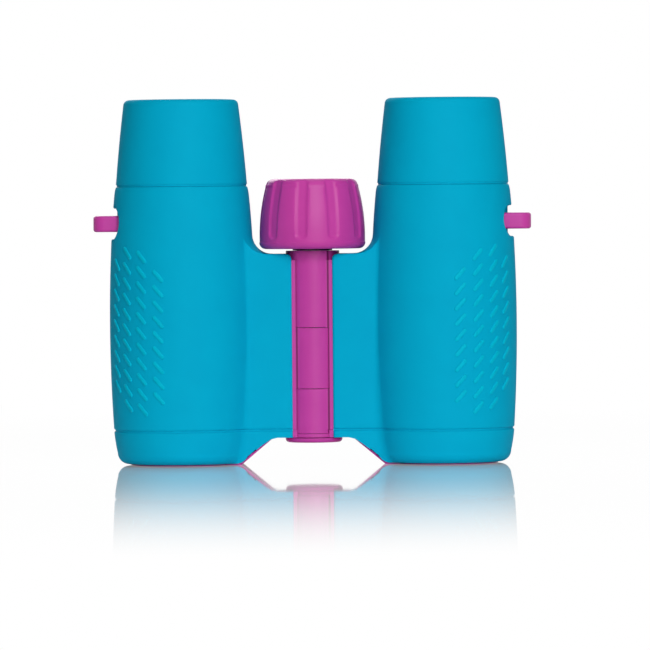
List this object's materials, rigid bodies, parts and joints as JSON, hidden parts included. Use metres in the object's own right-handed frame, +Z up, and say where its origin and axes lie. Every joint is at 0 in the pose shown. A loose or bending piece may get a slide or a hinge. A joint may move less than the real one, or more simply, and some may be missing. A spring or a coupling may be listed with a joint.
{
  "type": "toy binoculars",
  "caption": "Child's rubber-armoured roof-prism binoculars with folding hinge, flared eyecups, centre focus knob and strap loops.",
  "frame": {"origin": "centre of the footprint, midway between the two barrels, on the surface that the objective ends stand on", "axes": "+Z up along the barrels from objectives to eyecups, +X toward the viewer's right barrel, -Y toward the side that faces the viewer"},
  "size_m": [0.117, 0.039, 0.0976],
  "materials": {
    "soft_rubber": "soft-touch cyan thermoplastic rubber",
    "magenta_plastic": "satin magenta ABS",
    "black_plastic": "matt black ABS",
    "lens_glass": "coated optical glass",
    "steel": "plain steel",
    "aluminium_alloy": "die-cast alloy",
    "brass_screw": "turned brass"
  },
  "bodies": {
    "left_half": {"left_body_shell": "magenta_plastic", "left_armour": "soft_rubber", "left_front_cap": "magenta_plastic", "left_front_armour": "soft_rubber", "left_prism_cage": "black_plastic", "left_roof_prism": "lens_glass", "left_half_prism": "lens_glass", "left_strap_lug": "magenta_plastic", "left_cap_screw": "steel", "left_eyecup": "soft_rubber", "left_eyecup_core": "black_plastic", "left_eyepiece_tube": "black_plastic", "left_eye_lens": "lens_glass", "left_field_lens": "lens_glass", "left_eyepiece_ring": "black_plastic", "hinge_axle": "steel", "hinge_washer": "magenta_plastic", "hinge_cover": "magenta_plastic", "knob_washer": "steel"},
    "right_half": {"right_body_shell": "magenta_plastic", "right_armour": "soft_rubber", "right_front_cap": "magenta_plastic", "right_front_armour": "soft_rubber", "right_prism_cage": "black_plastic", "right_roof_prism": "lens_glass", "right_half_prism": "lens_glass", "right_strap_lug": "magenta_plastic", "right_cap_screw": "steel"},
    "dioptre_ring": {"right_eyecup": "soft_rubber", "right_eyecup_core": "black_plastic"},
    "right_eyepiece": {"right_eyepiece_tube": "black_plastic", "right_eye_lens": "lens_glass", "right_field_lens": "lens_glass", "right_eyepiece_ring": "black_plastic"},
    "focus_wheel": {"focus_knob": "magenta_plastic", "knob_cap": "magenta_plastic", "knob_screw": "steel", "focus_screw": "brass_screw"},
    "focus_bridge": {"focus_rod": "aluminium_alloy", "rod_clip": "steel", "left_objective_cell": "black_plastic", "left_objective_crown": "lens_glass", "left_objective_flint": "lens_glass", "left_objective_ring": "black_plastic", "left_focus_arm": "aluminium_alloy", "left_arm_screw": "steel"},
    "right_focus": {"right_objective_cell": "black_plastic", "right_objective_crown": "lens_glass", "right_objective_flint": "lens_glass", "right_objective_ring": "black_plastic", "right_focus_arm": "aluminium_alloy", "right_arm_screw": "steel"}
  },
  "joints": [
    {"name": "interpupillary_hinge", "type": "hinge", "parent": "left_half", "child": "right_half", "pos_m": [0, -0.0015, 0.03], "axis": [0, 0, 1], "range_deg": [0, 70]},
    {"name": "focus_turn", "type": "hinge", "parent": "left_half", "child": "focus_wheel", "pos_m": [0, -0.0015, 0.066], "axis": [0, 0, 1], "range_deg": [-216, 216]},
    {"name": "focus_bridge_slide", "type": "slide", "parent": "left_half", "child": "focus_bridge", "axis": [0, 0, 1], "range_m": [-0.0018, 0.0018]},
    {"name": "right_focus_slide", "type": "slide", "parent": "right_half", "child": "right_focus", "axis": [0, 0, 1], "range_m": [-0.0018, 0.0018]},
    {"name": "dioptre_turn", "type": "hinge", "parent": "right_half", "child": "dioptre_ring", "pos_m": [0.035, 0, 0.08], "axis": [0, 0, 1], "range_deg": [-120, 120]},
    {"name": "dioptre_slide", "type": "slide", "parent": "right_half", "child": "right_eyepiece", "axis": [0, 0, 1], "range_m": [-0.00075, 0.00075]}
  ],
  "couplings": [
    {"joint": "focus_bridge_slide", "follows": "focus_turn", "m_per_rad": 0.0004774},
    {"joint": "right_focus_slide", "follows": "focus_turn", "m_per_rad": 0.0004774},
    {"joint": "dioptre_slide", "follows": "dioptre_turn", "m_per_rad": 0.000358}
  ]
}
